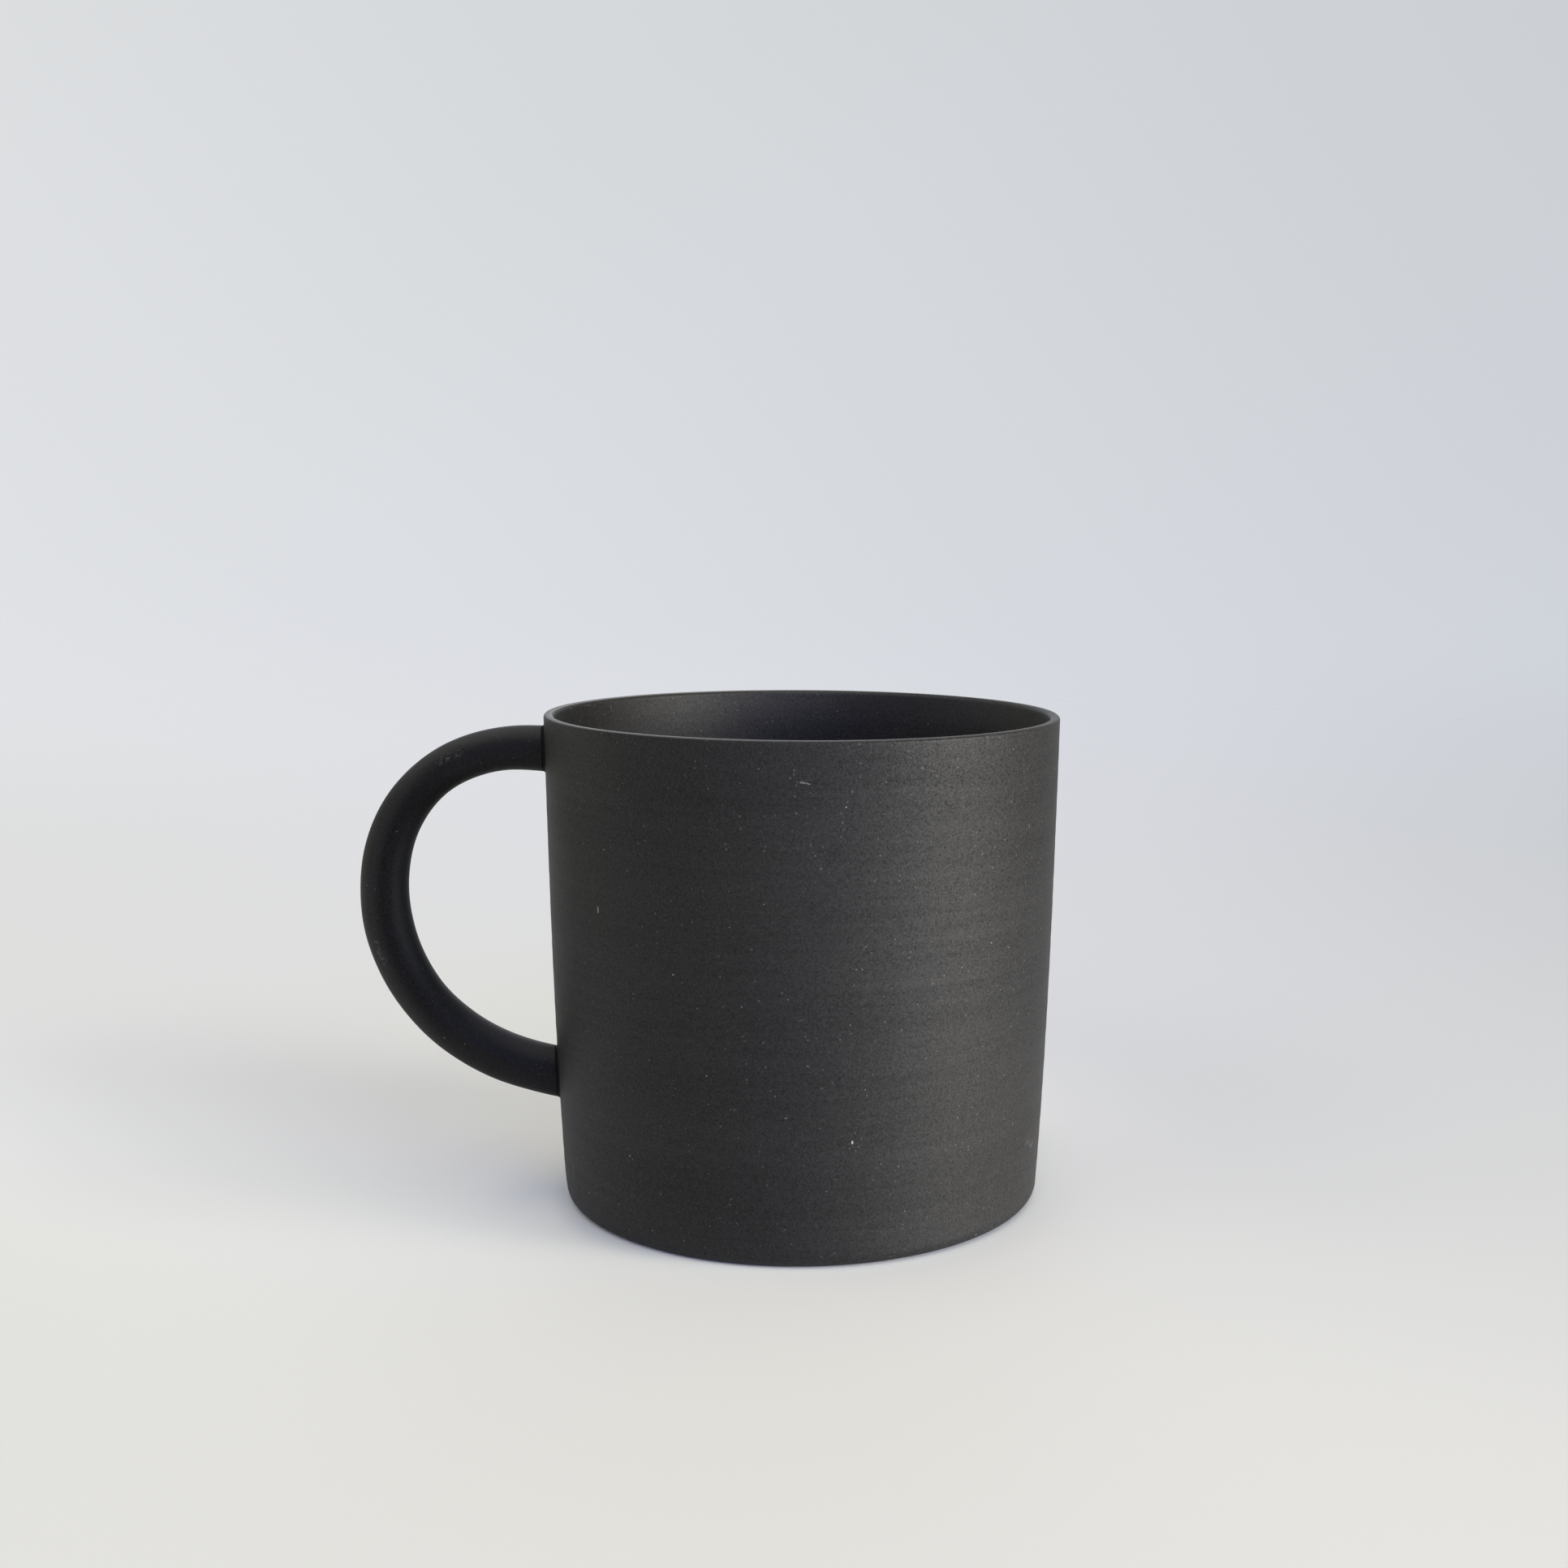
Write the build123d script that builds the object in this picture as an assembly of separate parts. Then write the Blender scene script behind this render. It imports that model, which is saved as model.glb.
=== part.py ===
from build123d import *
import math
import os

# Straight-sided stoneware mug: a turned cup, a round-section loop handle, and
# the two pads of clay slip that lute the handle to the cup.
# Millimetres. +Z up. Origin at the centre of the foot, on the table plane.
# The handle loop lies in the XZ plane on the -X side.

# ---------------------------------------------------------------- dimensions
# Cup, outside
HEIGHT = 80.3              # table to the top of the lip
RIM_R = 84.0 / 2           # at the lip
FOOT_R = 78.59 / 2         # before the bottom edge is rounded
WALL_BOW_LOW = 1.74        # Bezier pole at 1/3 height, outwards from the foot radius
WALL_BOW_HIGH = 2.17       # the same at 2/3 height
BASE_EDGE_RADIUS = 2.0     # rounding where the wall turns under to the foot

# Cup, inside
LIP_THICKNESS = 1.6        # wall at the lip
WALL_AT_FOOT = 3.1         # wall thickness, measured at table height
LIP_OUTER_RADIUS = 0.5     # rounding of the lip's outer edge
LIP_INNER_RADIUS = 0.7     # rounding of the lip's inner edge
FLOOR_TOP = 5.2            # height of the inside floor above the table
FLOOR_CORNER_RADIUS = 6.5  # inside, between wall and floor
FLOOR_FLAT_WIDTH = 14      # level ring from the unrounded corner in to the dish
FLOOR_DISH = 0.35          # the inside floor is this much lower at its centre

# Foot: a shallow recess turned into the underside leaves a ring to stand on
RECESS_R = 66.0 / 2        # inner edge of the standing ring
RECESS_DEPTH = 1.2
RECESS_SLOPE = 1.6         # radial run of the recess's side
RECESS_EDGE_RADIUS = 0.6   # rounding where the recess meets the standing ring
RECESS_CORNER_RADIUS = 0.8 # rounding where its side meets its flat top

# Handle: stations along its centreline, from the top joint round to the bottom.
# The first and last two lie inside the wall; the handle there is cut away.
HANDLE_STATIONS = [
    # distance from the cup's axis, height, diameter
    (36.13, 73.68, 7.45),
    (39.52, 74.18, 7.43),
    (43.21, 74.56, 7.35),
    (48.10, 74.54, 7.02),
    (53.04, 73.49, 6.91),
    (57.61, 71.36, 6.84),
    (61.50, 68.20, 6.92),
    (64.50, 64.23, 7.13),
    (66.50, 59.69, 7.37),
    (67.53, 54.79, 7.57),
    (67.64, 49.75, 7.69),
    (66.91, 44.74, 7.73),
    (65.39, 39.94, 7.71),
    (63.14, 35.48, 7.70),
    (60.20, 31.48, 7.72),
    (56.61, 28.03, 7.79),
    (52.44, 25.18, 7.93),
    (47.89, 22.97, 8.07),
    (43.21, 21.41, 8.13),
    (39.37, 20.43, 8.16),
    (35.57, 19.67, 8.19),
]

# Luting slip
SLIP_THICKNESS = 0.35      # between the handle's end and the wall
SLIP_BEAD_RADIUS = 0.5     # concave bead wiped round the joint
JOINT_HEIGHTS = {          # at the outermost stations clear of the wall
    "upper_joint_slip": HANDLE_STATIONS[2][1],
    "lower_joint_slip": HANDLE_STATIONS[-3][1],
}

# Solid used to cut the handle and slip to the wall
BLANK_BOTTOM = 4.0
BLANK_TOP = HEIGHT - 1.4

# Limits that pick out a joint's edges, and the box that isolates its slip
JOINT_DEPTH = 4            # edge centre, inwards from the wall
JOINT_HALF_HEIGHT = 8      # edge centre, above or below the joint
JOINT_RIM_DEPTH = 5        # whole edge, inwards from the rim radius
JOINT_EDGE_HEIGHT = 14     # tallest edge
SLIP_BOX = (8, 16, 16)


# ---------------------------------------------------------------- wall lines
def outer_radius(z):
    """Outside radius of the wall at height z."""
    u = z / HEIGHT
    v = 1 - u
    pole_low = FOOT_R + WALL_BOW_LOW
    pole_high = FOOT_R + WALL_BOW_HIGH
    return FOOT_R * v**3 + 3 * pole_low * v * v * u + 3 * pole_high * v * u * u + RIM_R * u**3


def inner_radius(z):
    """Inside radius; the wall thins evenly towards the lip."""
    thickness = LIP_THICKNESS + (WALL_AT_FOOT - LIP_THICKNESS) * (1 - z / HEIGHT)
    return outer_radius(z) - thickness


def wall_curve(z_low, z_high, radius_at):
    """Cubic line, low end to high, through the radii at four evenly spaced heights."""
    radii = [radius_at(z_low + (z_high - z_low) * k / 3) for k in range(4)]
    pole_low = (-5 * radii[0] + 18 * radii[1] - 9 * radii[2] + 2 * radii[3]) / 6
    pole_high = (2 * radii[0] - 9 * radii[1] + 18 * radii[2] - 5 * radii[3]) / 6
    third = (z_high - z_low) / 3
    return Bezier(
        (radii[0], z_low),
        (pole_low, z_low + third),
        (pole_high, z_high - third),
        (radii[3], z_high),
    )


# ---------------------------------------------------------------- cup
def make_cup():
    """Half section in (radius, height), rounded, then turned about the axis."""
    recess_edge = (RECESS_R, 0)
    recess_corner = (RECESS_R - RECESS_SLOPE, RECESS_DEPTH)
    foot_edge = (FOOT_R, 0)
    lip_outer = (RIM_R, HEIGHT)
    lip_inner = (RIM_R - LIP_THICKNESS, HEIGHT)
    floor_corner = (inner_radius(FLOOR_TOP), FLOOR_TOP)
    dish_edge = (floor_corner[0] - FLOOR_FLAT_WIDTH, FLOOR_TOP)
    dish_centre = (0, FLOOR_TOP - FLOOR_DISH)
    recess_centre = (0, RECESS_DEPTH)

    with BuildSketch(Plane.XZ) as section:
        with BuildLine():
            Line(recess_centre, recess_corner)
            Line(recess_corner, recess_edge)
            Line(recess_edge, foot_edge)
            wall_curve(0, HEIGHT, outer_radius)
            Line(lip_outer, lip_inner)
            wall_curve(FLOOR_TOP, HEIGHT, inner_radius)
            Line(floor_corner, dish_edge)
            Spline(dish_edge, dish_centre, tangents=((-1, 0), (-1, 0)))
            Line(dish_centre, recess_centre)
        make_face()
        for (x, y), radius in (
            (foot_edge, BASE_EDGE_RADIUS),
            (lip_outer, LIP_OUTER_RADIUS),
            (lip_inner, LIP_INNER_RADIUS),
            (floor_corner, FLOOR_CORNER_RADIUS),
            (recess_edge, RECESS_EDGE_RADIUS),
            (recess_corner, RECESS_CORNER_RADIUS),
        ):
            corner = min(section.vertices(), key=lambda v: math.hypot(v.X - x, v.Y - y))
            fillet(corner, radius)
    return revolve(section.sketch, axis=Axis.Z)


def wall_blank(grow):
    """The wall's outside filled solid and grown outwards by grow."""
    with BuildSketch(Plane.XZ) as section:
        with BuildLine():
            Line((0, BLANK_BOTTOM), (outer_radius(BLANK_BOTTOM) + grow, BLANK_BOTTOM))
            wall_curve(BLANK_BOTTOM, BLANK_TOP, lambda z: outer_radius(z) + grow)
            Line((outer_radius(BLANK_TOP) + grow, BLANK_TOP), (0, BLANK_TOP))
            Line((0, BLANK_TOP), (0, BLANK_BOTTOM))
        make_face()
    return revolve(section.sketch, axis=Axis.Z)


def largest_solid(shape):
    return max(shape.solids(), key=lambda solid: solid.volume)


# ---------------------------------------------------------------- handle
def make_rod():
    """The full handle, its ends still running into the wall."""
    points = [Vector(-distance, 0, z) for distance, z, _ in HANDLE_STATIONS]
    centreline = Spline(*points)
    sections = []
    for point, (_, _, diameter) in zip(points, HANDLE_STATIONS):
        tangent = centreline.tangent_at(centreline.param_at_point(point))
        plane = Plane(origin=point, x_dir=(0, 1, 0), z_dir=tangent)
        sections.append(plane * Circle(diameter / 2))
    return loft([section.face() for section in sections])


# ---------------------------------------------------------------- luting slip
def at_joint(edge, joint_z):
    centre = edge.center()
    box = edge.bounding_box()
    return (
        centre.X < -outer_radius(centre.Z) + JOINT_DEPTH
        and abs(centre.Z - joint_z) < JOINT_HALF_HEIGHT
        and box.max.X < -RIM_R + JOINT_RIM_DEPTH
        and box.size.Z < JOINT_EDGE_HEIGHT
    )


def make_slip(joined, blank, handle, joint_z):
    """Fillet the joint as a bead, then take away the cup and the handle."""
    edges = [edge for edge in joined.edges() if at_joint(edge, joint_z)]
    beaded = fillet(edges, SLIP_BEAD_RADIUS)
    reach = Pos(-outer_radius(joint_z), 0, joint_z) * Box(*SLIP_BOX)
    return largest_solid((beaded & reach) - blank - handle)


# ---------------------------------------------------------------- output
cup_body = make_cup()
rod = make_rod()
handle = largest_solid(rod - wall_blank(SLIP_THICKNESS))
parts = {"cup_body": cup_body, "handle": handle}

blank = wall_blank(0)
joined = blank + rod
for name, joint_z in JOINT_HEIGHTS.items():
    parts[name] = make_slip(joined, blank, handle, joint_z)

os.makedirs("parts", exist_ok=True)
for name, shape in parts.items():
    shape.label = name
    export_step(shape, f"parts/{name}.step")
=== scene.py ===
# A dark unglazed clay mug with a round rod handle, on a pale floor.
# The mug stands on z = 0 with its axis on Z. The handle is on the -X side, and the camera
# looks from -Y, so front is -Y. Shapes are worked out in mm and meshes are stored in metres.
import math

import bpy
import numpy as np
from mathutils import Matrix, Vector


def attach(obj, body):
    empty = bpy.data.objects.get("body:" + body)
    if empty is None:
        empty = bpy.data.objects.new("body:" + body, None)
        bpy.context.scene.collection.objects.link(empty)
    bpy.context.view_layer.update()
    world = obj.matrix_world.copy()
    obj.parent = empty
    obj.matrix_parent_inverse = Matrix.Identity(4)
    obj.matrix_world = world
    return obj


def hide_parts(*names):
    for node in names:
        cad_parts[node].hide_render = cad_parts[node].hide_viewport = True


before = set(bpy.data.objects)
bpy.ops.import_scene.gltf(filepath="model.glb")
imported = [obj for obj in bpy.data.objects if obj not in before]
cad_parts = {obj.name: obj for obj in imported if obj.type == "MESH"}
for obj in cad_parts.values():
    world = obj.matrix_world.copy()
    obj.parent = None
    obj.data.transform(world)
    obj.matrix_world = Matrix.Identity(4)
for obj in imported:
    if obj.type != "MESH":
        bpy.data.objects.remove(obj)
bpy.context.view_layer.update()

MM = 0.001

# ------------------------------------------------------------------ sizes, mm
HEIGHT = 80.3
RIM_R, FOOT_R = 42.0, 39.295
# radii of the wall's Bezier control points, evenly spaced from foot to rim
WALL_POLES = (FOOT_R, FOOT_R + 1.74, FOOT_R + 2.17, RIM_R)
LIP_THICK, FOOT_THICK = 1.6, 3.1             # wall thickness at the rim and at z = 0
FLOOR_Z = 5.2                                # inside floor, at the wall
DISH_DEPTH, DISH_MARGIN = 0.35, 14.0         # the floor dips this much, this far in from the wall
RING_R = 33.0                                # inner radius of the foot ring
RECESS, RECESS_RUN = 1.2, 1.6                # height and sloping width of the recess underneath
# corner radii in the order the profile meets them
CORNERS = {
    "recess_top": 0.8, "ring_inner": 0.6, "base_edge": 2.0,
    "lip_outer": 0.5, "lip_inner": 0.7, "floor": 6.5,
}
CUP_SEGMENTS = 216

JOINT_GAP = 0.35                             # between the rod's ends and the wall
BEAD = 0.5                                   # width of the slip bead round each joint
PAD_SINK, TOE_SINK = 0.03, 0.012             # how far the slip sinks into the clay it covers
CAP_GAP = JOINT_GAP + 0.01                   # from the wall to the slip's end inside the rod
SEARCH_LENGTH = 14.0                         # the wall is met this close to each rod end
ROD_SEGMENTS, ROD_RINGS, PAD_SEGMENTS = 64, 320, 96

# handle centreline from top to bottom: distance from the mug's axis, height, rod diameter
STATIONS = np.array([
    (36.13, 73.68, 7.45), (39.52, 74.18, 7.43), (43.21, 74.56, 7.35), (48.10, 74.54, 7.02),
    (53.04, 73.49, 6.91), (57.61, 71.36, 6.84), (61.50, 68.20, 6.92), (64.50, 64.23, 7.13),
    (66.50, 59.69, 7.37), (67.53, 54.79, 7.57), (67.64, 49.75, 7.69), (66.91, 44.74, 7.73),
    (65.39, 39.94, 7.71), (63.14, 35.48, 7.70), (60.20, 31.48, 7.72), (56.61, 28.03, 7.79),
    (52.44, 25.18, 7.93), (47.89, 22.97, 8.07), (43.21, 21.41, 8.13), (39.37, 20.43, 8.16),
    (35.57, 19.67, 8.19),
])


def outer_radius(z):
    up = np.asarray(z, float) / HEIGHT
    down = 1 - up
    a, b, c, d = WALL_POLES
    return a * down**3 + 3 * b * down * down * up + 3 * c * down * up * up + d * up**3


def inner_radius(z):
    thick = LIP_THICK + (FOOT_THICK - LIP_THICK) * (1 - np.asarray(z, float) / HEIGHT)
    return outer_radius(z) - thick


def waves(seed, count, low, high):
    """A seeded sum of sines between two frequencies, about unit amplitude."""
    rng = np.random.RandomState(seed)
    frequency = np.exp(rng.uniform(math.log(low), math.log(high), count))
    phase = rng.uniform(0, 2 * math.pi, count)
    size = rng.uniform(0.4, 1.0, count)
    size /= np.sqrt((size**2).sum() / 2)
    return lambda x: sum(
        a * np.sin(2 * math.pi * f * x + p) for a, f, p in zip(size, frequency, phase))


def angles_round(count):
    return np.arange(count) * 2 * math.pi / count


# ------------------------------------------------------------------ meshes
def face_outward(mesh):
    """Flips the faces if the closed mesh's signed volume is negative."""
    points = np.array([v.co for v in mesh.vertices])
    mesh.calc_loop_triangles()
    a, b, c = np.array([t.vertices[:] for t in mesh.loop_triangles]).T
    if np.einsum("ij,ij->i", points[a], np.cross(points[b], points[c])).sum() < 0:
        mesh.flip_normals()


def add_object(name, mesh):
    obj = bpy.data.objects.new(name, mesh)
    bpy.context.scene.collection.objects.link(obj)
    return obj


def closed_rings(name, rings, first, last):
    """A smooth closed object from equal rings in mm, fanned to the points first and last."""
    count = len(rings[0])
    verts = [first] + [point for ring in rings for point in ring] + [last]
    faces = []
    for i in range(len(rings) - 1):
        a, b = 1 + i * count, 1 + (i + 1) * count
        for j in range(count):
            k = (j + 1) % count
            faces.append((a + j, a + k, b + k, b + j))
    end = 1 + (len(rings) - 1) * count
    for j in range(count):
        k = (j + 1) % count
        faces.append((0, 1 + k, 1 + j))
        faces.append((end + j, end + k, len(verts) - 1))
    mesh = bpy.data.meshes.new(name)
    mesh.from_pydata([tuple(v) for v in np.asarray(verts, float) * MM], [], faces)
    mesh.validate()
    mesh.polygons.foreach_set("use_smooth", [True] * len(mesh.polygons))
    mesh.update()
    face_outward(mesh)
    return add_object(name, mesh)


# ------------------------------------------------------------------ cup: a turned profile
def line(start, end, step):
    count = max(2, int(math.ceil(math.dist(start, end) / step)) + 1)
    return np.stack([np.linspace(a, b, count) for a, b in zip(start, end)], 1)


def rounded(chain, radii):
    """Joins polylines that meet end to start, rounding the corner after each with its radius."""
    chain = list(chain)
    arcs = []
    for i, radius in enumerate(radii):
        before, after = chain[i], chain[i + 1]
        corner = before[-1]
        back, ahead = before[-2] - corner, after[1] - corner
        back = back / np.linalg.norm(back)
        ahead = ahead / np.linalg.norm(ahead)
        half = math.acos(max(-1, min(1, float(back @ ahead)))) / 2
        cut = radius / math.tan(half)
        bisector = (back + ahead) / np.linalg.norm(back + ahead)
        centre = corner + bisector * (radius / math.sin(half))
        start, end = corner + back * cut, corner + ahead * cut
        angle_0 = math.atan2(*(start - centre)[::-1])
        angle_1 = math.atan2(*(end - centre)[::-1])
        while angle_1 - angle_0 > math.pi:
            angle_1 -= 2 * math.pi
        while angle_1 - angle_0 < -math.pi:
            angle_1 += 2 * math.pi
        count = max(5, int(abs(angle_1 - angle_0) / math.radians(9)))
        t = np.linspace(angle_0, angle_1, count + 1)
        arcs.append(np.stack(
            [centre[0] + radius * np.cos(t), centre[1] + radius * np.sin(t)], 1))
        for side, run in ((i, before), (i + 1, after)):
            chain[side] = run[np.linalg.norm(run - corner, axis=1) > cut * 1.001]
    parts = [chain[0]]
    for arc, run in zip(arcs, chain[1:]):
        parts += [arc, run]
    points = np.vstack(parts)
    distinct = np.r_[True, np.linalg.norm(np.diff(points, axis=0), axis=1) > 1e-4]
    return points[distinct]


floor_radius = float(inner_radius(FLOOR_Z))


def cup_profile():
    """Radius and height from the axis underneath, over the rim, to the axis inside."""
    z_out = np.linspace(0, HEIGHT, 190)
    z_in = np.linspace(HEIGHT, FLOOR_Z, 170)
    floor_x = np.linspace(floor_radius, 0, 46)
    dish_r = floor_radius - DISH_MARGIN
    dish = np.clip((dish_r - floor_x) / dish_r, 0, 1)
    floor_z = FLOOR_Z - DISH_DEPTH * (3 * dish**2 - 2 * dish**3)
    recess_edge = (RING_R - RECESS_RUN, RECESS)
    return rounded(
        [
            line((0, RECESS), recess_edge, step=1.6),
            line(recess_edge, (RING_R, 0), step=0.4),
            line((RING_R, 0), (FOOT_R, 0), step=0.8),
            np.stack([outer_radius(z_out), z_out], 1),
            line((RIM_R, HEIGHT), (RIM_R - LIP_THICK, HEIGHT), step=0.2),
            np.stack([inner_radius(z_in), z_in], 1),
            np.stack([floor_x, floor_z], 1),
        ],
        CORNERS.values(),
    )


ripples_out = waves(11, 14, 1 / 9.0, 1 / 2.2)     # turning ripples, waves per mm
ripples_in = waves(12, 12, 1 / 11.0, 1 / 2.8)
RIPPLE_DEPTH, OVAL_DEPTH = 0.0085, 0.018
# the base edge is pulled in on the front left: depth, direction and spread in degrees
SOFT_DEPTH, SOFT_DIRECTION, SOFT_SPREAD = 0.68, 227.0, 36.0


def unit(x):
    return min(1.0, max(0.0, x))


def cup_wobble(r, z, angle):
    """Radial movement of the clay: ripples and ovalness on the walls, and the soft base edge."""
    if r < floor_radius - 6:
        return np.zeros_like(angle)
    inside = r < float(outer_radius(z)) - 1.3
    fade = unit((z - 2.5) / 4) * unit((HEIGHT - 1.5 - z) / 4)
    ripples = ripples_in if inside else ripples_out
    lead = z + 0.35 * np.sin(angle + 0.6) + 0.2 * np.sin(2 * angle + 2.0)
    oval = np.sin(2 * angle + 0.9 + z / 40)
    move = RIPPLE_DEPTH * fade * ripples(lead) + OVAL_DEPTH * fade * oval
    if z < 4.5 or not inside:
        soft = unit((r - 35.0) / 2.0) * math.exp(-(max(0.0, z - 0.6) / 2.4) ** 2)
        away = (np.degrees(angle) - SOFT_DIRECTION + 180.0) % 360.0 - 180.0
        move = move - SOFT_DEPTH * soft * np.exp(-(away / SOFT_SPREAD) ** 2)
    return move


def build_cup():
    profile = cup_profile()
    angle = angles_round(CUP_SEGMENTS)
    rings = []
    for r, z in profile[1:-1]:
        radius = r + cup_wobble(r, z, angle)
        rings.append(np.stack(
            [radius * np.cos(angle), radius * np.sin(angle), np.full(CUP_SEGMENTS, z)], -1))
    return closed_rings("cup_clay", rings, (0, 0, profile[0][1]), (0, 0, profile[-1][1]))


# ------------------------------------------------------------------ handle: a rod on a spline
def natural_spline(x, y):
    """A natural cubic spline; the function returned gives its value or its slope."""
    n = len(x)
    h = np.diff(x)
    matrix = np.zeros((n, n))
    bends = np.zeros(n)
    matrix[0, 0] = matrix[-1, -1] = 1
    for i in range(1, n - 1):
        matrix[i, i - 1:i + 2] = h[i - 1], 2 * (h[i - 1] + h[i]), h[i]
        bends[i] = 6 * ((y[i + 1] - y[i]) / h[i] - (y[i] - y[i - 1]) / h[i - 1])
    m = np.linalg.solve(matrix, bends)

    def evaluate(s, slope=False):
        s = np.asarray(s, float)
        i = np.clip(np.searchsorted(x, s) - 1, 0, n - 2)
        right, left = x[i + 1] - s, s - x[i]
        if slope:
            return ((-m[i] * right**2 + m[i + 1] * left**2) / (2 * h[i])
                    + (y[i + 1] - y[i]) / h[i] - (m[i + 1] - m[i]) * h[i] / 6)
        return ((m[i] * right**3 + m[i + 1] * left**3) / (6 * h[i])
                + (y[i] / h[i] - m[i] * h[i] / 6) * right
                + (y[i + 1] / h[i] - m[i + 1] * h[i] / 6) * left)

    return evaluate


station_gaps = np.linalg.norm(np.diff(STATIONS[:, :2], axis=0), axis=1)
knots = np.r_[0, np.cumsum(station_gaps)]
rod_length = knots[-1]
rod_reach, rod_height, rod_diameter = (natural_spline(knots, col) for col in STATIONS.T)
sideways_lumps = waves(21, 5, 1 / 45.0, 1 / 9.0)
oval_lumps = waves(22, 5, 1 / 40.0, 1 / 8.0)


def rod_point(s, around, share=1.0, grow=0.0):
    """Point on the rod: s along it, an angle round it, and a share of its grown radius."""
    s, around = np.broadcast_arrays(np.asarray(s, float), np.asarray(around, float))
    run, rise = rod_reach(s, slope=True), rod_height(s, slope=True)
    length = np.hypot(run, rise)
    run, rise = run / length, rise / length
    radius = rod_diameter(s) / 2 + grow
    radius = (radius + 0.022 * sideways_lumps(s) * np.cos(around - 0.4)
              + 0.016 * oval_lumps(s) * np.cos(2 * around + 0.8))
    radius = radius * share
    reach = rod_reach(s) + radius * np.cos(around) * (-rise)
    z = rod_height(s) + radius * np.cos(around) * run
    return np.stack([-reach, radius * np.sin(around), z], -1)


def rod_meets_wall(around, share, gap, top, grow=0.0):
    """Length along the rod, found by halving, where it is gap outside the cup's wall."""
    inside = np.zeros_like(around) if top else np.full_like(around, rod_length)
    outside = np.full_like(around, SEARCH_LENGTH if top else rod_length - SEARCH_LENGTH)
    for _ in range(48):
        middle = (inside + outside) / 2
        p = rod_point(middle, around, share, grow)
        is_out = np.hypot(p[..., 0], p[..., 1]) - outer_radius(p[..., 2]) - gap > 0
        outside = np.where(is_out, middle, outside)
        inside = np.where(is_out, inside, middle)
    return (inside + outside) / 2


def rod_cut(around, share, gap, top, grow=0.0):
    """Ring of rod points that lie gap outside the wall."""
    return rod_point(rod_meets_wall(around, share, gap, top, grow), around, share, grow)


def rod_cut_centre(gap, top):
    return rod_cut(np.zeros(1), 0.0, gap, top)[0]


def build_handle():
    around = angles_round(ROD_SEGMENTS)
    start = rod_meets_wall(around, 1.0, JOINT_GAP, True)
    end = rod_meets_wall(around, 1.0, JOINT_GAP, False)
    shares = (0.25, 0.5, 0.75, 0.93)
    rings = [rod_cut(around, share, JOINT_GAP, True) for share in shares]
    rings += [rod_point(start + (end - start) * t, around) for t in np.linspace(0, 1, ROD_RINGS)]
    rings += [rod_cut(around, share, JOINT_GAP, False) for share in shares[::-1]]
    return closed_rings("handle_clay", rings, rod_cut_centre(JOINT_GAP, True),
                        rod_cut_centre(JOINT_GAP, False))


# ------------------------------------------------------------------ slip pads with a concave bead
def sunk_in_wall(points):
    """Moves points radially to just under the wall's surface."""
    points = np.array(points, float)
    angle = np.arctan2(points[..., 1], points[..., 0])
    radius = outer_radius(points[..., 2]) - PAD_SINK
    points[..., 0], points[..., 1] = radius * np.cos(angle), radius * np.sin(angle)
    return points


def unit_rows(vectors):
    return vectors / np.linalg.norm(vectors, axis=1)[:, None]


def build_slip_pad(name, top, seed):
    around = angles_round(PAD_SEGMENTS)
    rng = np.random.RandomState(seed)
    bead = BEAD * (1 + sum(
        rng.uniform(0.02, 0.07) * np.sin((k + 1) * around + rng.uniform(0, 6.28))
        for k in range(5)))
    at_wall = rod_meets_wall(around, 1.0, 0.0, top)
    crease = rod_point(at_wall, around)
    centre = crease.mean(0)
    off_wall = bead if top else -bead
    toe_on_rod = rod_point(at_wall + off_wall, around, 1.0, -TOE_SINK)

    # the toe on the wall lies square to the crease, away from its centre
    tangent = unit_rows(np.roll(crease, -1, 0) - np.roll(crease, 1, 0))
    away = unit_rows(np.cross(tangent, unit_rows(crease * (1, 1, 0))))
    away *= np.sign(((crease - centre) * away).sum(1))[:, None]
    toe_on_wall = sunk_in_wall(crease + away * bead[:, None])

    rings = [sunk_in_wall(centre + (crease - centre) * share) for share in (0.3, 0.6, 0.85)]
    rings += [sunk_in_wall(crease), toe_on_wall]
    for t in np.linspace(0, 1, 14)[1:]:
        rings.append((1 - t) ** 2 * toe_on_wall + 2 * t * (1 - t) * crease + t * t * toe_on_rod)
    rings.append(rod_point(at_wall + off_wall * 0.5, around, 1.0, -PAD_SINK))
    rings.append(rod_cut(around, 1.0, CAP_GAP, top, -PAD_SINK))
    rings += [rod_cut(around, share, CAP_GAP, top) for share in (0.85, 0.55, 0.25)]
    first = sunk_in_wall(centre[None, :])[0]
    return closed_rings(name, rings, first, rod_cut_centre(CAP_GAP, top))


cup = build_cup()
handle = build_handle()
upper_slip = build_slip_pad("upper_joint_clay", top=True, seed=31)
lower_slip = build_slip_pad("lower_joint_clay", top=False, seed=32)


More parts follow.
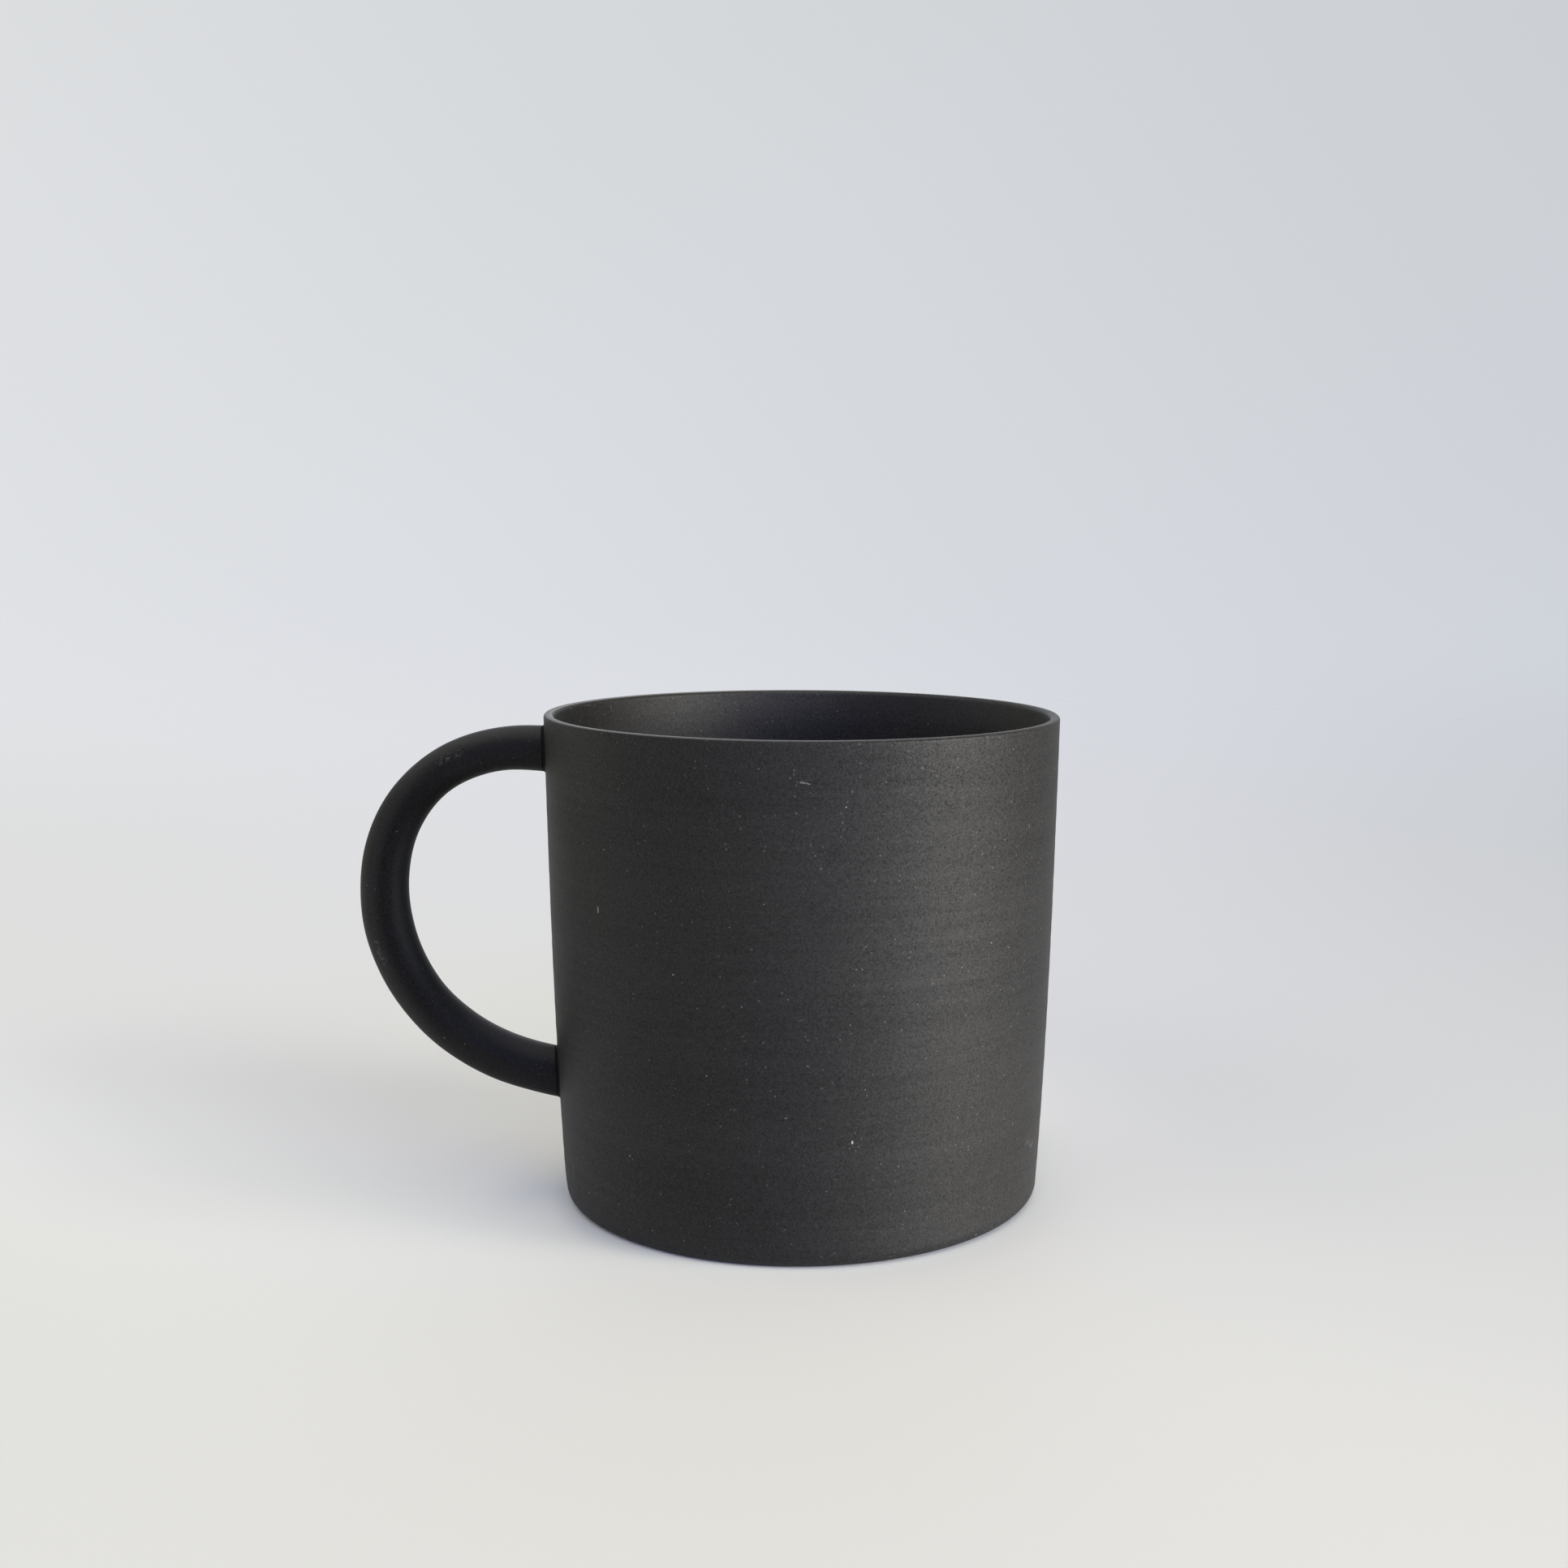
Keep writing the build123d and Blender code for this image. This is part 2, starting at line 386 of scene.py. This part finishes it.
# ------------------------------------------------------------------ shader node graphs
class Graph:
    """Builds shader nodes; each method returns an output socket of the node it adds."""

    def __init__(self, tree, output, third=0.0):
        self.tree = tree
        self.third = third                   # held by the unused third input of Math nodes
        tree.nodes.clear()
        self.output = tree.nodes.new("ShaderNodeOutput" + output)

    def feed(self, socket, value):
        if isinstance(value, bpy.types.NodeSocket):
            self.tree.links.new(value, socket)
        else:
            socket.default_value = value

    def node(self, kind, *values, out=0, inputs=None, **settings):
        """Values fill the first inputs; the inputs dict fills others by name or index."""
        made = self.tree.nodes.new("ShaderNode" + kind)
        for name, value in settings.items():
            setattr(made, name, value)
        for slot, value in (*enumerate(values), *(inputs or {}).items()):
            self.feed(made.inputs[slot], value)
        return made.outputs[out]

    def math(self, operation, a, b=0.0):
        return self.node("Math", a, b, self.third, operation=operation)

    def add(self, first, *others):
        for other in others:
            first = self.math("ADD", first, other)
        return first

    def mul(self, first, *others):
        for other in others:
            first = self.math("MULTIPLY", first, other)
        return first

    def sub(self, a, b):
        return self.math("SUBTRACT", a, b)

    def div(self, a, b):
        return self.math("DIVIDE", a, b)

    def vector(self, operation, a, b=(0, 0, 0), out=0):
        return self.node("VectorMath", a, b, out=out, operation=operation)

    def dot(self, a, b):
        return self.vector("DOT_PRODUCT", a, b, out=1)

    def length(self, a):
        return self.vector("LENGTH", a, out=1)

    def scale(self, a, factor):
        scaled = self.vector("SCALE", a)
        self.feed(scaled.node.inputs["Scale"], factor)
        return scaled

    def axis(self, a, name):
        return self.node("SeparateXYZ", a, out=name)

    def linear(self, value, over, to=(0.0, 1.0), kind="LINEAR"):
        """Maps the range over to the range to, clamped."""
        return self.node("MapRange", value, *over, *to, interpolation_type=kind)

    def smooth(self, value, over, to=(0.0, 1.0)):
        return self.linear(value, over, to, "SMOOTHSTEP")

    def bell(self, x):
        """exp(-x * x)"""
        return self.math("EXPONENT", self.mul(x, x, -1.0))

    def lobe(self, cosine, sharpness):
        """1 where the cosine is 1, falling off faster the sharper it is."""
        return self.math("EXPONENT", self.mul(self.sub(cosine, 1.0), sharpness))

    def swing(self, value, amount):
        """Turns a 0 to 1 value into a change about zero."""
        return self.mul(self.sub(value, 0.5), amount)

    def noise(self, where, scale, detail=2.0, roughness=0.5):
        return self.node("TexNoise", inputs={
            "Vector": where, "Scale": scale, "Detail": detail, "Roughness": roughness})

    def mix(self, factor, a, b):
        return self.node("Mix", out=2, inputs={0: factor, 6: a, 7: b}, data_type="RGBA")


class Material(Graph):
    def __init__(self, name):
        self.material = bpy.data.materials.new(name)
        self.material.use_nodes = True
        super().__init__(self.material.node_tree, "Material")
        shader = self.node("BsdfPrincipled")
        self.shader = shader.node
        self.feed(self.output.inputs[0], shader)
        self.pos = self.node("TexCoord", out="Object")       # metres

    def surface(self, inputs):
        for name, value in inputs.items():
            self.feed(self.shader.inputs[name], value)


# ------------------------------------------------------------------ clay
TINTS = ((1.0, 0.985, 1.0), (1.03, 1.0, 0.955))      # cool and warm, times each clay's grey
# painted highlight colour, used on the rim's top and on the handle's faces looking up or down
PAINTED_EDGE_HIGHLIGHT = (0.205, 0.200, 0.195, 1)
MARK_COLOUR = (0.34, 0.33, 0.315, 1)
SPECK_COLOUR = (0.420, 0.408, 0.390, 1)
SMALL_SPECK_COLOUR = (0.150, 0.146, 0.140, 1)
PINHOLE_COLOUR = (0.004, 0.004, 0.004, 1)

# pale marks: centre mm, direction, length mm, width mm, strength, broken up by noise
CUP_MARKS = (
    ((-3.10, -41.80, 74.26), (0.985, -0.060, -0.060), 0.9, 0.26, 0.40, False),
    ((-2.30, -41.85, 74.11), (0.940, -0.050, -0.330), 0.7, 0.24, 0.34, False),
    ((-32.93, -25.27, 52.80), (0.0, 0.0, 1.0), 1.0, 0.34, 0.85, False),
    ((4.56, -40.15, 20.00), (0.0, 0.0, 1.0), 0.55, 0.34, 0.95, False),
    ((-37.73, -12.65, 8.00), (0.0, 0.0, 1.0), 4.3, 0.40, 0.10, False),
    ((35.50, -18.30, 11.80), (0.40, 0.84, -0.36), 4.9, 1.8, 0.14, True),
)
HANDLE_MARKS = (
    ((-56.95, -3.40, 73.60), (0.93, 0.0, 0.37), 5.2, 1.8, 0.12, True),
    ((-68.35, -3.40, 41.80), (-0.35, 0.0, 0.94), 4.8, 1.6, 0.10, True),
)


class Clay(Material):
    """Fine dark clay. base is its colour so far, lift its brightness, shine its reflection."""

    def __init__(self, name):
        super().__init__(name)
        self.cloud = self.noise(self.pos, scale=62.0, detail=3.0)             # 15 mm patches
        self.patch = self.noise(self.pos, scale=300.0)                        # 3 mm mottling
        self.grain = self.noise(self.pos, scale=2300.0, roughness=0.6)        # 0.4 mm grain
        self.fine = self.noise(self.pos, scale=5200.0, detail=1.0)            # 0.2 mm grit
        self.band = None

    def weigh(self, **amounts):
        """Sums the named noises, each swinging about zero by its amount."""
        return self.add(*(self.swing(getattr(self, name), amount)
                          for name, amount in amounts.items()))

    def blend(self, factor, colour):
        self.base = self.mix(factor, self.base, colour)

    def calm_handle_side(self):
        """Weakens the grain towards the handle's side of the cup."""
        contrast = self.linear(self.axis(self.pos, "X"), over=(-0.034, 0.024), to=(0.78, 1.10))
        self.grain = self.add(0.5, self.swing(self.grain, contrast))
        self.fine = self.add(0.5, self.swing(self.fine, contrast))

    def add_turning_noises(self):
        """1 mm tooling lines and 9 mm throwing bands, both level."""
        stretched = self.vector("MULTIPLY", self.pos, (20.0, 20.0, 900.0))
        self.band = self.noise(stretched, scale=1.0, detail=3.0, roughness=0.6)
        stretched = self.vector("MULTIPLY", self.pos, (13.0, 13.0, 105.0))
        self.wide = self.noise(stretched, scale=1.0)

    def mottle(self, grit, tone_bands={}, shine_bands={}):
        """Sets lift and shine; grit scales the two finest noises."""
        tone = self.weigh(
            cloud=0.22, patch=0.14, grain=0.40 * grit, fine=0.72 * grit, **tone_bands)
        self.shine = self.weigh(
            cloud=0.17, patch=0.13, grain=1.45 * grit, fine=1.90 * grit, **shine_bands)
        self.lift = self.add(tone, 1.0)

    def paint_cup_light(self):
        """Paints light and shade on the inside, from painted shade by the handle to painted light
        opposite, then a painted highlight slope on the +X half.
        """
        x, y, z = self.x, self.y, self.z
        from_axis = self.math("SQRT", self.add(self.mul(x, x), self.mul(y, y)))
        # a cone between the wall's two faces: radius 37 mm at z = 0, growing by 0.0486 per unit
        depth = self.sub(self.add(0.0370, self.mul(z, 0.0486)), from_axis)
        # painted light and shade inside the cup: darker towards the handle, brighter and shinier
        # towards +X, strongest near the rim
        across = self.add(
            self.smooth(x, over=(-0.038, 0.012), to=(-0.45, 0.95)),
            self.smooth(x, over=(0.010, 0.040), to=(0.0, 1.1)))
        across = self.mul(across, self.smooth(z, over=(0.071, 0.0785), to=(0.30, 1.0)))
        inside = self.mul(self.smooth(depth, over=(0.0, 0.0004)), across)
        self.lift = self.mul(self.lift, self.add(1.0, inside))
        self.shine = self.add(self.shine, self.mul(inside, 0.4))
        # painted highlight: the +X half is brighter at the foot and darker at the top, in colour
        # and reflection
        upward = self.mul(
            self.smooth(x, over=(-0.005, 0.020)),
            self.linear(z, over=(0.010, 0.074), to=(0.17, -0.11)))
        self.lift = self.mul(self.lift, self.add(1.0, upward))
        self.shine = self.add(self.shine, upward)

    def colour(self, grey):
        warmth = self.smooth(self.noise(self.pos, scale=34.0), over=(0.35, 0.65))
        cool, warm = (tuple(grey * t for t in tint) + (1,) for tint in TINTS)
        self.base = self.scale(self.mix(warmth, cool, warm), self.lift)

    def cells(self, scale):
        """Distance and random colour of scattered points."""
        distance = self.node("TexVoronoi", inputs={"Vector": self.pos, "Scale": scale})
        return distance, distance.node.outputs["Color"]

    def add_grog(self, amount):
        """Pale specks of mixed size and brightness, smaller dim ones, and a few pinholes."""
        distance, cell = self.cells(scale=600.0)
        pick = self.node("SeparateColor", cell, out="Red")
        size_pick = self.node("SeparateColor", cell, out="Green")
        level = self.math("POWER", self.linear(pick, over=(0.40, 1.0)), 2.1)
        edge = self.add(0.034, self.mul(size_pick, 0.034))
        dot = self.smooth(self.div(distance, edge), over=(0.55, 1.25), to=(1.0, 0.0))
        self.speck = self.mul(dot, level)

        distance, cell = self.cells(scale=1250.0)
        pick = self.node("SeparateColor", cell, out="Green")
        dot = self.smooth(distance, over=(0.10, 0.24), to=(1.0, 0.0))
        small_speck = self.mul(dot, self.linear(pick, over=(0.80, 1.0)))
        self.hole = self.mul(dot, self.math("LESS_THAN", pick, 0.045))

        self.blend(self.mul(self.speck, 0.95 * amount), SPECK_COLOUR)
        self.blend(self.mul(small_speck, 0.50 * amount), SMALL_SPECK_COLOUR)
        self.blend(self.mul(self.hole, 0.6), PINHOLE_COLOUR)

    def paint_lip_highlight(self):
        """Paints a highlight on the top 0.2 mm of the rim, most on the handle's side."""
        lip = self.smooth(self.z, over=((HEIGHT - 0.20) * MM, (HEIGHT - 0.03) * MM))
        side = self.smooth(self.x, over=(-0.034, 0.034), to=(0.62, 0.10))
        self.blend(self.mul(lip, side), PAINTED_EDGE_HIGHLIGHT)

    def paint_handle_light(self):
        """Paints light and shade on the handle's outer reach by facing, and paints highlights on
        faces looking up or down.
        """
        x = self.axis(self.pos, "X")
        facing_x = self.axis(self.node("NewGeometry", out="Normal"), "X")
        # painted light and shade: lighter facing left, darker facing the camera, lighter again
        # facing the cup
        painted_light_by_facing = self.add(
            self.smooth(facing_x, over=(-0.50, 0.05), to=(0.32, -0.36)),
            self.smooth(facing_x, over=(0.25, 0.80), to=(0.0, 0.85)))
        painted_light_by_facing = self.mul(painted_light_by_facing, self.smooth(x, over=(-0.064, -0.053), to=(1.0, 0.0)))
        self.base = self.scale(self.base, self.add(painted_light_by_facing, 1.0))
        self.shine = self.add(self.shine, painted_light_by_facing)
        # painted highlight on faces looking up and painted floor reflection on faces looking down
        facing_z = self.axis(self.node("NewGeometry", out="Normal"), "Z")
        painted_top_highlight = self.smooth(facing_z, over=(0.35, 1.0))
        painted_underside_reflection = self.smooth(facing_z, over=(-1.0, -0.65), to=(0.45, 0.0))
        self.blend(self.mul(self.add(painted_top_highlight, painted_underside_reflection), 0.225), PAINTED_EDGE_HIGHLIGHT)

    def add_marks(self, marks):
        for centre, direction, length, width, strength, broken in marks:
            offset = self.vector("SUBTRACT", self.pos, tuple(c * MM for c in centre))
            along = self.dot(offset, direction)
            full = self.length(offset)
            across = self.sub(self.mul(full, full), self.mul(along, along))
            across = self.math("SQRT", self.math("MAXIMUM", across, 0.0))
            mark = self.mul(
                self.smooth(self.math("ABSOLUTE", along), to=(1.0, 0.0),
                            over=(length * 0.35 * MM, length * 0.55 * MM)),
                self.smooth(across, to=(1.0, 0.0), over=(width * 0.2 * MM, width * 0.6 * MM)))
            if broken:
                gaps = self.noise(self.pos, scale=1500.0, roughness=0.6)
                mark = self.mul(mark, self.smooth(gaps, over=(0.46, 0.66)))
            self.blend(self.mul(mark, strength), MARK_COLOUR)

    def finish(self, sheen, roughness):
        """Fills the shader; bump heights are in mm."""
        height = self.add(
            self.mul(self.grain, 0.021), self.mul(self.fine, 0.007), self.mul(self.speck, 0.012))
        height = self.sub(height, self.mul(self.hole, 0.012))
        if self.band is not None:
            height = self.add(height, self.mul(self.band, 0.014))
        reflection = self.math("MAXIMUM", self.add(self.shine, 1.0), 0.1)
        self.surface({
            "Base Color": self.base,
            "Roughness": self.add(self.weigh(cloud=0.10, patch=0.06, grain=0.10), roughness),
            "IOR": 1.45,
            "Specular IOR Level": self.mul(reflection, sheen),
            "Normal": self.node(
                "Bump", inputs={"Strength": 1.0, "Distance": MM, "Height": height}),
        })
        return self.material


def cup_material():
    clay = Clay("cup_clay_material")
    clay.x, clay.y, clay.z = (clay.axis(clay.pos, name) for name in "XYZ")
    clay.calm_handle_side()
    clay.add_turning_noises()
    clay.mottle(grit=1.0, tone_bands={"band": 0.26, "wide": 0.30},
                shine_bands={"band": 0.34, "wide": 0.28})
    clay.paint_cup_light()
    clay.colour(grey=0.0108)
    clay.add_grog(amount=1.0)
    clay.paint_lip_highlight()
    clay.add_marks(CUP_MARKS)
    return clay.finish(sheen=0.35, roughness=0.60)


def handle_material():
    clay = Clay("handle_clay_material")
    clay.mottle(grit=0.65)
    # painted shade: the handle gets a darker grey and weaker reflection than the cup, standing in
    # for the shadow the cup casts on it
    clay.colour(grey=0.0068)
    clay.add_grog(amount=0.5)
    clay.paint_handle_light()
    clay.add_marks(HANDLE_MARKS)
    return clay.finish(sheen=0.235, roughness=0.60)


def slip_material():
    clay = Clay("slip_material")
    clay.mottle(grit=0.65)
    # painted shade: the slip is much darker and less shiny than the clay it joins, so the joint
    # creases read as shaded
    clay.colour(grey=0.0035)
    clay.add_grog(amount=0.2)
    return clay.finish(sheen=0.12, roughness=0.65)


cup_clay = cup_material()
handle_clay = handle_material()
slip = slip_material()
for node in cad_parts.values():
    node.data.materials.clear()
    node.data.materials.append(cup_clay)

# object, its material, the CAD node it replaces, its slot
for obj, material, node, slot in (
    (cup, cup_clay, "cup_body", "cup_clay"),
    (handle, handle_clay, "handle", "handle_clay"),
    (upper_slip, slip, "upper_joint_slip", "slip"),
    (lower_slip, slip, "lower_joint_slip", "slip"),
):
    obj.data.materials.append(material)
    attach(obj, "root")
    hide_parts(node)

# ------------------------------------------------------------------ floor, metres
FLOOR_GREY = 0.80
# what each pattern on the floor adds to its tone, in red, green, blue; the tone is painted light
# and shade: a broad gradient, painted light near the mug, along its shadow streak and at the back
# right, and painted shadow to the left and on the left of the foot ring
FLOOR_TONES = {
    "even": (0.9511, 0.9487, 0.9709),
    "x": (-0.0498, -0.0475, -0.0166),
    "y": (-0.1213, -0.1094, -0.0548),
    "x_squared": (-0.1483, -0.1350, -0.1970),
    "y_squared": (0.0646, 0.0645, 0.0487),
    "x_times_y": (-0.0905, -0.0757, -0.0654),
    "painted_light_near": (0.0703, 0.0761, 0.0711),
    "painted_light_near_x": (-0.0684, -0.0631, -0.0515),
    "painted_light_near_y": (-0.0580, -0.0495, -0.0156),
    "painted_light_streak": (0.3332, 0.3228, 0.3380),
    "painted_light_back_right": (0.6140, 0.5800, 0.5335),
    "painted_shadow_left": (-0.1975, -0.1692, -0.1122),
    "painted_light_ring": (0.0414, 0.0660, 0.0658),
    "painted_shadow_ring_left": (-0.2500, -0.2460, -0.1900),
}
# the painted light streak lightens the mug's shadow, running back and left from the mug: angle,
# width as a sine, fade-in distances
STREAK_ANGLE, STREAK_WIDTH, STREAK_START = 2.8001, 0.3330, (0.0587, 0.1927)
FOOT_RING_R, FOOT_RING_WIDTH = 0.0393, 0.0024
RING_LEFT = (-0.9063, -0.4226, 0.0)          # direction of the ring's darker part
TONE_LIMITS = (0.45, 0.97)


def floor_patterns(graph, from_centre):
    """The patterns weighted by FLOOR_TONES."""
    pos = graph.pos
    x, y = graph.axis(pos, "X"), graph.axis(pos, "Y")
    # x and y squeezed with distance, so that the far floor changes slowly
    spread = graph.div(5.0, graph.add(1.0, graph.div(from_centre, 0.39)))
    wide_x, wide_y = graph.mul(x, spread), graph.mul(y, spread)

    def spot(x, y, size):
        offset = graph.vector("SUBTRACT", pos, (x, y, 0.0))
        return graph.bell(graph.div(graph.length(offset), size))

    radius = graph.math("MAXIMUM", from_centre, 1e-4)

    def cosine_to(direction):
        return graph.div(graph.dot(pos, direction), radius)

    # painted light near the mug and along its shadow, painted shadow beside the foot
    painted_light_near = spot(x=0.0, y=0.0, size=0.085)
    line_x, line_y = math.cos(STREAK_ANGLE), math.sin(STREAK_ANGLE)
    along = cosine_to((line_x, line_y, 0.0))
    across = graph.div(cosine_to((-line_y, line_x, 0.0)), STREAK_WIDTH)
    painted_light_streak = graph.mul(
        graph.bell(across),
        graph.math("GREATER_THAN", along, 0.0),
        graph.linear(from_centre, over=STREAK_START))
    ring = graph.bell(graph.div(graph.sub(from_centre, FOOT_RING_R), FOOT_RING_WIDTH))
    return {
        "even": 1.0,
        "x": wide_x,
        "y": wide_y,
        "x_squared": graph.mul(wide_x, wide_x),
        "y_squared": graph.mul(wide_y, wide_y),
        "x_times_y": graph.mul(wide_x, wide_y),
        "painted_light_near": painted_light_near,
        "painted_light_near_x": graph.mul(painted_light_near, graph.mul(x, 20.0)),
        "painted_light_near_y": graph.mul(painted_light_near, graph.mul(y, 20.0)),
        "painted_light_streak": painted_light_streak,
        "painted_light_back_right": spot(x=0.0107, y=0.0271, size=0.0460),
        "painted_shadow_left": spot(x=-0.0422, y=0.0001, size=0.0081),
        "painted_light_ring": ring,
        "painted_shadow_ring_left": graph.mul(ring, graph.lobe(cosine_to(RING_LEFT), sharpness=6.0)),
    }


def floor_material():
    graph = Material("floor_material")
    from_centre = graph.length(graph.pos)
    patterns = floor_patterns(graph, from_centre)
    tone = None
    for name, weights in FLOOR_TONES.items():
        part = graph.scale(tuple(FLOOR_GREY * w for w in weights), patterns[name])
        tone = part if tone is None else graph.vector("ADD", tone, part)
    darkest, palest = TONE_LIMITS
    tone = graph.vector("MAXIMUM", tone, (darkest,) * 3)
    tone = graph.vector("MINIMUM", tone, (palest,) * 3)
    # light sees the floor fade by distance; the camera sees it fade by the slope of the view
    edge_fade = graph.smooth(from_centre, over=(0.95, 2.3), to=(1.0, 0.0))
    view_slope = graph.div(0.112, graph.add(from_centre, 0.33))
    seen_fade = graph.smooth(view_slope, over=(0.046, 0.165))
    is_camera = graph.node("LightPath", out="Is Camera Ray")
    graph.surface({
        "Base Color": tone,
        "Roughness": 0.8,
        "Specular IOR Level": 0.2,
        "Alpha": graph.add(edge_fade, graph.mul(is_camera, graph.sub(seen_fade, edge_fade))),
    })
    return graph.material


def build_floor():
    radii = np.r_[np.linspace(0.05, 0.6, 12), np.linspace(0.7, 2.4, 18)]
    count = 128
    verts = [(0, 0, 0)]
    for r in radii:
        for j in range(count):
            angle = 2 * math.pi * j / count
            verts.append((r * math.cos(angle), r * math.sin(angle), 0.0))
    faces = [(0, 1 + j, 1 + (j + 1) % count) for j in range(count)]
    for i in range(len(radii) - 1):
        a, b = 1 + i * count, 1 + (i + 1) * count
        for j in range(count):
            k = (j + 1) % count
            faces.append((a + j, b + j, b + k, a + k))
    mesh = bpy.data.meshes.new("floor")
    mesh.from_pydata(verts, [], faces)
    floor = add_object("floor", mesh)
    mesh.materials.append(floor_material())


build_floor()

# ------------------------------------------------------------------ light and backdrop
TURN = math.radians(-4.0)                    # turns the camera and the lights together about Z
# pools of light: azimuth (0 towards the camera, + to its right) and elevation in degrees,
# sharpness, strength in red, green, blue
POOLS = (
    (180, 8, 7.5, (1.935, 2.035, 2.240)),
    (135, 38, 7.5, (0.672, 0.622, 0.440)),
    (-45, 38, 7.5, (0.833, 0.817, 0.933)),
    (-45, 68, 7.5, (1.626, 1.597, 1.325)),
    (20, 22, 30.0, (0.0, 0.0, 3.361)),
    (20, 40, 30.0, (1.568, 1.918, 1.286)),
    (57, 4, 60.0, (17.14, 18.52, 18.37)),
    (69, 4, 60.0, (53.60, 50.38, 47.20)),
    (69, 20, 60.0, (0.651, 0.622, 0.0)),
    (-110, 8, 30.0, (1.718, 1.695, 1.479)),
)
# backdrop seen by the camera: its colour, and its change towards +X and upwards
BACKDROP = (0.692, 0.712, 0.747)
BACKDROP_ACROSS, BACKDROP_UP = (-0.153, -0.140, -0.112), (-0.116, -0.117, -0.175)
BACKDROP_LOWEST = -0.12                      # the upward change stops below this


def pool_direction(azimuth, elevation):
    azimuth, elevation = math.radians(azimuth), math.radians(elevation)
    x = math.sin(azimuth) * math.cos(elevation)
    y = -math.cos(azimuth) * math.cos(elevation)
    return (x * math.cos(TURN) - y * math.sin(TURN),
            x * math.sin(TURN) + y * math.cos(TURN),
            math.sin(elevation))


def build_world():
    world = bpy.data.worlds.new("studio")
    bpy.context.scene.world = world
    world.use_nodes = True
    sky = Graph(world.node_tree, "World", third=0.5)
    way = sky.vector("NORMALIZE", sky.node("TexCoord", out="Generated"))
    light = None
    for azimuth, elevation, sharpness, strength in POOLS:
        cosine = sky.dot(way, pool_direction(azimuth, elevation))
        pool = sky.scale(strength, sky.lobe(cosine, sharpness))
        light = pool if light is None else sky.vector("ADD", light, pool)
    way_x = sky.axis(way, "X")
    way_z = sky.math("MAXIMUM", way_x.node.outputs["Z"], BACKDROP_LOWEST)
    across = sky.scale(BACKDROP_ACROSS, way_x)
    upward = sky.scale(BACKDROP_UP, way_z)
    seen = sky.vector("ADD", sky.vector("ADD", across, upward), BACKDROP)
    is_camera = sky.node("LightPath", out="Is Camera Ray")
    glow = sky.node("Background", sky.mix(is_camera, light, seen), 1.0)
    sky.feed(sky.output.inputs[0], glow)


build_world()

# ------------------------------------------------------------------ camera
EYE = (0, -320.880 * MM, 112.093 * MM)       # before TURN
PITCH, YAW, ROLL = 0.139286, 0.065655, 0.011832      # radians: down, to the right, tilt
SENSOR_WIDTH, FOCAL_LENGTH = 36.0, 44.944472         # mm
SHIFT_X, SHIFT_Y = -0.093913043, 0.0054865424        # shares of the sensor's width


def build_camera():
    data = bpy.data.cameras.new("camera")
    camera = add_object("camera", data)
    bpy.context.scene.camera = camera
    cos_pitch, sin_pitch = math.cos(PITCH), math.sin(PITCH)
    cos_yaw, sin_yaw = math.cos(YAW), math.sin(YAW)
    cos_roll, sin_roll = math.cos(ROLL), math.sin(ROLL)
    right = Vector((cos_yaw, -sin_yaw, 0))
    up = Vector((sin_pitch * sin_yaw, sin_pitch * cos_yaw, cos_pitch))
    forward = Vector((cos_pitch * sin_yaw, cos_pitch * cos_yaw, -sin_pitch))
    right, up = right * cos_roll + up * sin_roll, up * cos_roll - right * sin_roll
    turn = Matrix.Rotation(TURN, 3, "Z")
    rotation = Matrix((turn @ right, turn @ up, -(turn @ forward))).transposed()
    camera.matrix_world = Matrix.Translation(turn @ Vector(EYE)) @ rotation.to_4x4()
    data.sensor_fit = "HORIZONTAL"
    data.sensor_width = SENSOR_WIDTH
    data.lens = FOCAL_LENGTH
    data.shift_x, data.shift_y = SHIFT_X, SHIFT_Y
    data.clip_start, data.clip_end = 0.01, 20.0


build_camera()

view = bpy.context.scene.view_settings
view.view_transform = "Standard"
view.look = "None"
view.exposure = 0.0
view.gamma = 1.0

bpy.context.view_layer.update()
